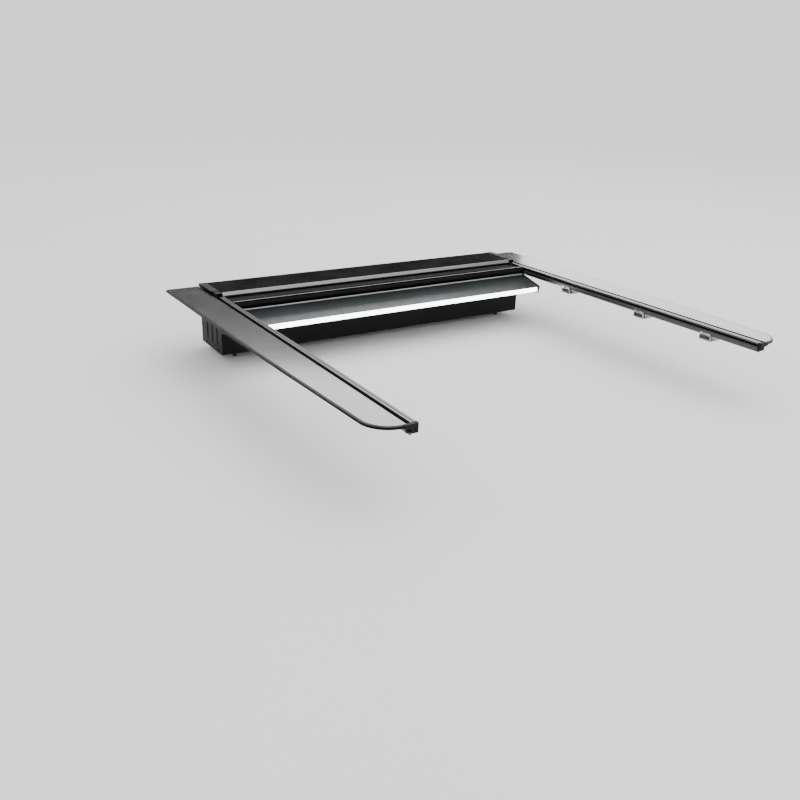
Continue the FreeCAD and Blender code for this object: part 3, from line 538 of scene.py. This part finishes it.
def single_slat(node, name):
    """Replace a CAD slat by one with the knuckle, grooves and lips of its section."""
    low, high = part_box(node)
    pivot = Vector((0, low.y + SLAT_KNUCKLE * MM, (low.z + high.z) / 2))
    mesh = swept_x(rounded(slat_corners(SLAT_PITCH), 3), low.x, high.x, pivot)
    return finished_piece(name, mesh, SLOT_OF_NODE[node], BODY_OF_NODE[node], [node])


def curtain_stretch():
    """The slats that leave the canister as the cover closes.

    They lie folded into the short gap between the frame's slat and the lead's slat, and each point is
    placed so that it arrives at its true place when the cover is closed."""
    exit_low, exit_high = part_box("exit_slat")
    lead_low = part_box("lead_in_slat")[0]
    near = exit_low.y + SLAT_KNUCKLE * MM
    far = lead_low.y + (SLAT_KNUCKLE + SLAT_PITCH) * MM
    slats = round((near - far + CURTAIN_TRAVEL) / (SLAT_PITCH * MM))
    pitch = (near - far + CURTAIN_TRAVEL) / slats
    middle = (exit_low.z + exit_high.z) / 2

    def rest_place(closed):
        """Where a point lies when the cover is open, found by halving, from its place when closed."""
        margin = 0.01
        low = far - margin
        high = near + margin
        for _ in range(48):
            here = (low + high) / 2
            t = min(1.0, max(0.0, (near - here) / (near - far)))
            if here - t * t * (3 - 2 * t) * CURTAIN_TRAVEL < closed:
                low = here
            else:
                high = here
        return (low + high) / 2

    bm = bmesh.new()
    outline = rounded(slat_corners(pitch / MM), 2)
    for k in range(slats):
        rear = far - CURTAIN_TRAVEL + k * pitch
        rings = []
        for x in (exit_low.x, exit_high.x):
            ring = []
            for p in outline:
                ring.append(bm.verts.new((x, rest_place(rear + p.x * MM), middle + p.y * MM)))
            rings.append(ring)
        bm.faces.new(rings[0])
        bm.faces.new(rings[1][::-1])
        for i in range(len(outline)):
            j = (i + 1) % len(outline)
            bm.faces.new((rings[0][j], rings[0][i], rings[1][i], rings[1][j]))
    mesh = bpy.data.meshes.new("curtain_stretch")
    bm.to_mesh(mesh)
    bm.free()
    piece = finished_piece("curtain_stretch", mesh, "slat_aluminium", None, ["curtain_run"])
    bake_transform(piece)
    return piece


def lead_slat():
    """The deeper slat with its drop face and three fine grooves, and a pale strip let into its rib as a
    painted highlight along the ridge.
    """
    low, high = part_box("lead_slat")
    drop_face = 3.5
    underside = 8.0
    top = 16.0
    lip_start = 61.2
    lip_end = 65.0
    lip_underside = 14.8
    corners = [(0, 0, 1.0), (drop_face, 0, 1.0), (drop_face, underside, 1.2), (lip_start, underside, 0.6),
               (lip_start, lip_underside, 0.3), (lip_end, lip_underside, 0.4), (lip_end, top, 0.5)]
    groove_half_width = 0.8
    groove_depth = 0.5
    for y in (48.0, 36.0, 24.0):
        corners += [(y + groove_half_width, top, 0.2), (y, top - groove_depth, 0.25),
                    (y - groove_half_width, top, 0.2)]
    rib_foot = 12.0
    rib_crest = 7.0
    rib_top = 22.0
    strip_front = 6.0
    strip_rear = 1.3
    strip_bed = rib_top - 0.6
    corners += [(rib_foot, top, 2.5), (rib_crest, rib_top, 0.4), (strip_front, rib_top, 0.1),
                (strip_front, strip_bed, 0.1), (strip_rear, strip_bed, 0.1), (strip_rear, rib_top, 0.1),
                (0, rib_top, 0.9)]
    bar_for("lead_slat", corners, "lead_slat_bar")
    # The pale strip in the rib is a painted highlight standing for the ridge's bright line.
    strip_foot = strip_bed + 0.1
    strip = [(strip_rear, strip_foot, 0), (strip_front, strip_foot, 0), (strip_front, rib_top, 0.25),
             (strip_rear, rib_top, 0.25)]
    mesh = swept_x(rounded(strip), low.x + MM, high.x - MM, low, 0)
    return finished_piece("lead_slat_painted_highlight", mesh, "nose_alloy", BODY_OF_NODE["lead_slat"])


# ---------------------------------------------------------------- canister


def lid_nose():
    """The strip along the lid's rear edge, its sloping face split by one narrow line; its pale grey finish is
    a painted reflection of bright light on what is a dark part.
    """
    low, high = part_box("lid_nose")
    depth = (high.y - low.y) / MM
    height = (high.z - low.z) / MM
    line_half_width = 0.6
    line_depth = 1.0
    foot = Vector((0, 4.5))
    crest = Vector((depth - 0.8, height))
    along = (crest - foot).normalized()
    inward = Vector((along.y, -along.x)) * line_depth
    upper = (foot + crest) / 2 + along * line_half_width
    lower = (foot + crest) / 2 - along * line_half_width
    corners = [(0, 0, 0.5), (depth, 0, 0.4), (depth, height, 0.2), (*crest, 0.8)]
    corners += [(*point, 0.25) for point in (upper, upper + inward, lower + inward, lower)]
    corners += [(*foot, 0.8)]
    return bar_for("lid_nose", corners, "lid_nose_bar")


def apron():
    """The sheet over the light nose: a slope up to a fold, then a level shelf."""
    low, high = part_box("apron_panel")
    length = (high.y - low.y) / MM
    top = (high.z - low.z) / MM
    shelf = 36.0
    sheet = 1.5
    edge_lift = 0.05
    fold = length - shelf
    rise = top - sheet
    lean = math.atan2(rise, fold)
    back = Vector((math.sin(lean), -math.cos(lean))) * sheet
    corners = [(length, top, 0.3), (fold, top, 3.5), (0, sheet, 0.5),
               (back.x, sheet + back.y + edge_lift, 0.4), (fold, top - sheet, 2.0),
               (length, top - sheet, 0.3)]
    return bar_for("apron_panel", corners, "apron_sheet_panel", end_round=0.25, steps=6)


def light_lens():
    """A domed lens, leaned back with its channel."""
    lean = math.radians(16.0)
    height = 19.9
    depth = 3.0
    edge_depth = 0.9
    dome = 0.5
    tall = Vector((math.sin(lean), math.cos(lean)))
    deep = Vector((math.cos(lean), -math.sin(lean)))
    foot = Vector((edge_depth, 0.0))
    corners = []
    for up, into, radius in ((0, depth, 0.3), (0, edge_depth, 0.8), (height * 0.5, -dome, 14.0),
                             (height, edge_depth, 0.8), (height, depth, 0.3)):
        point = foot + tall * up + deep * into
        corners.append((point.x, point.y, radius))
    return bar_for("led_lens", corners, "light_lens", steps=6)


def beads(name, node, spots, half_length, along, across, out):
    """Pressed stiffening beads: long pillows with round ends that stand out of a panel.

    Spots are the beads' centres on the panel's face. The three directions are unit vectors, and the
    profile gives each ring's distance in from the outer one and its height above the face."""
    half_width = 11.0
    profile = ((0.0, -0.3), (0.0, 0.3), (1.2, 1.3), (3.0, 2.0), (5.5, 2.3))
    steps = 8
    bm = bmesh.new()
    for spot in spots:
        rings = []
        for inset, lift in profile:
            radius = half_width - inset
            ring = []
            for end in (1, -1):
                for k in range(steps + 1):
                    angle = math.pi * (k / steps - 0.5)
                    far = end * (half_length + radius * math.cos(angle))
                    aside = end * radius * math.sin(angle)
                    ring.append(bm.verts.new(spot + (along * far + across * aside + out * lift) * MM))
            rings.append(ring)
        bm.faces.new(rings[0])
        bm.faces.new(rings[-1])
        for lower, upper in zip(rings, rings[1:]):
            for i in range(len(lower)):
                j = (i + 1) % len(lower)
                bm.faces.new((lower[i], lower[j], upper[j], upper[i]))
    bmesh.ops.recalc_face_normals(bm, faces=bm.faces)
    mark_sharp(bm, 60.0)
    mesh = bpy.data.meshes.new(name)
    bm.to_mesh(mesh)
    bm.free()
    return finished_piece(name, mesh, SLOT_OF_NODE[node], BODY_OF_NODE[node])


def canister_beads():
    """Beads along the front wall and the floor, and short upright ribs on the end plates."""
    x_axis = Vector((1, 0, 0))
    y_axis = Vector((0, 1, 0))
    z_axis = Vector((0, 0, 1))
    wall_bead_x = 0.34
    floor_bead_x = 0.3
    rib_middle = 0.078
    rib_places = (0.054, 0.104, 0.154)
    low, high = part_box("canister_front_wall")
    rows = [low.z + (high.z - low.z) * part for part in (0.22, 0.48, 0.74)]
    spots = [Vector((x, high.y, z)) for x in (-wall_bead_x, wall_bead_x) for z in rows]
    beads("canister_front_beads", "canister_front_wall", spots, 300.0, x_axis, z_axis, y_axis)
    low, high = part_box("canister_floor")
    rows = [low.y + (high.y - low.y) * part for part in (0.3, 0.7)]
    spots = [Vector((x, y, low.z)) for x in (-floor_bead_x, floor_bead_x) for y in rows]
    beads("canister_floor_beads", "canister_floor", spots, 190.0, x_axis, y_axis, -z_axis)
    for side, out in (("left", -x_axis), ("right", x_axis)):
        node = side + "_end_plate"
        low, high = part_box(node)
        face = high.x if side == "right" else low.x
        spots = [Vector((face, high.y - inward, low.z + rib_middle)) for inward in rib_places]
        beads(node + "_ribs", node, spots, 40.0, z_axis, y_axis, out)


def clamp_teeth():
    """Saw teeth across the clamps' inner legs, below the screws."""
    clamp_rows = (0.218, 0.527, 0.929)
    half_length = 0.02
    count = 4
    pitch = 3.4
    first = 5.0
    tip = 1.5
    sunk = -0.3
    corners = [(sunk, first, 0)]
    for k in range(count):
        corners += [(tip, first + 0.6 + k * pitch, 0.15), (0.0, first + (k + 1) * pitch, 0.1)]
    corners += [(sunk, first + 0.3 + count * pitch, 0)]
    bracket_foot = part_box("clamp_brackets")[0].z
    leg_face = min(vertex.co.x for vertex in nodes["clamp_brackets"].data.vertices if vertex.co.x > 0)
    origin = Vector((0, -leg_face, bracket_foot))
    for side, turn in (("right", 1), ("left", -1)):
        for number, row in enumerate(clamp_rows, 1):
            mesh = swept_x(rounded(corners, 2), turn * row - half_length, turn * row + half_length, origin, 0)
            mesh.transform(Matrix.Rotation(turn * math.pi / 2, 4, "Z"))
            finished_piece(f"{side}_clamp_teeth_{number}", mesh, "clamp_alloy",
                           BODY_OF_NODE["clamp_brackets"])


# The edge rounding of each CAD node that is softened, in millimetres.
SOFT_EDGES = {
    "left_rail": 0.4, "right_rail": 0.4, "left_rail_end_cap": 0.5, "right_rail_end_cap": 0.5,
    "left_end_plate": 0.7, "right_end_plate": 0.7,
    "clamp_brackets": 0.6, "clamp_jaws": 0.6, "clamp_bolts": 0.35, "clamp_screws": 0.3,
    "canister_brackets": 0.4, "canister_lid": 0.3, "left_lid_end_cap": 0.4, "right_lid_end_cap": 0.4,
    "canister_front_wall": 0.3, "canister_floor": 0.3, "canister_rear_wall": 0.3, "nose_panel": 0.3,
    "led_channel": 0.25, "roller_bushes": 0.5, "lead_end_guides": 0.4, "drain_spigots": 0.3,
    "cable_gland": 0.35, "end_plate_screws": 0.25, "lid_screws": 0.25, "bulkhead_seal": 0.3,
    "lead_slat_seal": 0.3, "left_bed_seal": 0.6, "right_bed_seal": 0.6, "bearing_housing": 0.4,
}


# ---------------------------------------------------------------- assembly

for node_name, node in nodes.items():
    node.data.materials.clear()
    node.data.materials.append(FINISHES[SLOT_OF_NODE[node_name]])
for node_name, width in SOFT_EDGES.items():
    softened(node_name, width)
for side in ("left", "right"):
    softened(side + "_edge_trim", 0.9, 3, finish="trim_rubber")
# The apron's edge strip gets the pale finish as a painted highlight along the fold.
softened("apron_edge_strip", 0.4, finish="apron_edge_painted_highlight")
single_slat("exit_slat", "exit_slat_bar")
single_slat("lead_in_slat", "lead_in_slat_bar")
curtain_stretch()
lead_slat()
lid_nose()
apron()
light_lens()
canister_beads()
clamp_teeth()


# ---------------------------------------------------------------- stage


def floor(height):
    """A plain pale floor, far larger than the view."""
    half = 60.0
    corners = [(-half, -half, height), (half, -half, height), (half, half, height), (-half, half, height)]
    mesh = bpy.data.meshes.new("floor")
    mesh.from_pydata(corners, [], [(0, 1, 2, 3)])
    finish = Finish("floor_paper", Roughness=0.9, Specular_IOR_Level=0.0)
    finish.colour(finish.blend(finish.spread(finish.noise(3.0, 3.0), 0.0, 1.0), (0.84, 0.84, 0.84),
                               (0.85, 0.85, 0.85)))
    mesh.materials.append(finish.material)
    piece = bpy.data.objects.new("floor", mesh)
    scene.collection.objects.link(piece)


def softbox(name, place, target, size, radiance, on_floor=True):
    """A rectangular soft light that the camera doesn't see; with on_floor off it only makes reflections."""
    data = bpy.data.lights.new(name, "AREA")
    data.shape = "RECTANGLE"
    data.size, data.size_y = size
    data.energy = radiance * math.pi * size[0] * size[1]
    light = bpy.data.objects.new(name, data)
    light.location = place
    light.rotation_mode = "QUATERNION"
    light.rotation_quaternion = (Vector(target) - Vector(place)).to_track_quat("-Z", "Y")
    light.visible_camera = False
    light.visible_diffuse = on_floor
    scene.collection.objects.link(light)


def studio_world(seen, diffuse, mirrored):
    """An even pale surround with its own strength for the camera, for soft light and in reflections."""
    world = bpy.data.worlds.new("studio")
    scene.world = world
    world.use_nodes = True
    tree = world.node_tree
    background = tree.nodes["Background"]
    path = tree.nodes.new("ShaderNodeLightPath")
    level = None
    for ray, value in (("Is Glossy Ray", mirrored), ("Is Camera Ray", seen)):
        choice = tree.nodes.new("ShaderNodeMapRange")
        tree.links.new(path.outputs[ray], choice.inputs["Value"])
        choice.inputs["To Max"].default_value = value
        if level is None:
            choice.inputs["To Min"].default_value = diffuse
        else:
            tree.links.new(level.outputs["Result"], choice.inputs["To Min"])
        level = choice
    tree.links.new(level.outputs["Result"], background.inputs["Strength"])
    background.inputs["Color"].default_value = (1.0, 1.0, 1.0, 1.0)


def camera():
    """The view from above and behind the bed's left rear corner."""
    place = Vector((-1.737, -1.519, 0.821))
    heading = 0.583
    pitch = 0.389
    roll = 0.038
    view = Vector((math.sin(heading) * math.cos(pitch), math.cos(heading) * math.cos(pitch),
                   -math.sin(pitch)))
    level = Vector((math.cos(heading), -math.sin(heading), 0))
    above = level.cross(view)
    right = math.cos(roll) * level + math.sin(roll) * above
    up = right.cross(view)
    data = bpy.data.cameras.new("camera")
    data.lens = 36.81
    data.sensor_width = 36.0
    data.clip_start = 0.05
    eye = bpy.data.objects.new("camera", data)
    turn = Matrix((right, up, -view)).transposed()
    eye.matrix_world = Matrix.Translation(place) @ turn.to_4x4()
    scene.collection.objects.link(eye)
    scene.camera = eye


floor(cad_low.z - 1.0 * MM)
studio_world(1.27, 1.5, 0.06)
softbox("overhead", (2.0, 0.4, 4.6), (1.4, 0.7, 0.0), (9.0, 5.0), 1.25)
softbox("far_left", (2.2, 6.2, 4.1), (0.0, 0.7, 0.0), (5.2, 3.4), 4.2, on_floor=False)
softbox("far_right", (7.4, 5.0, 2.4), (0.3, 0.7, 0.0), (5.4, 4.0), 3.0, on_floor=False)
softbox("behind_camera", (-3.6, -4.6, 3.0), (0.0, 0.7, 0.0), (4.0, 3.0), 1.0, on_floor=False)
camera()
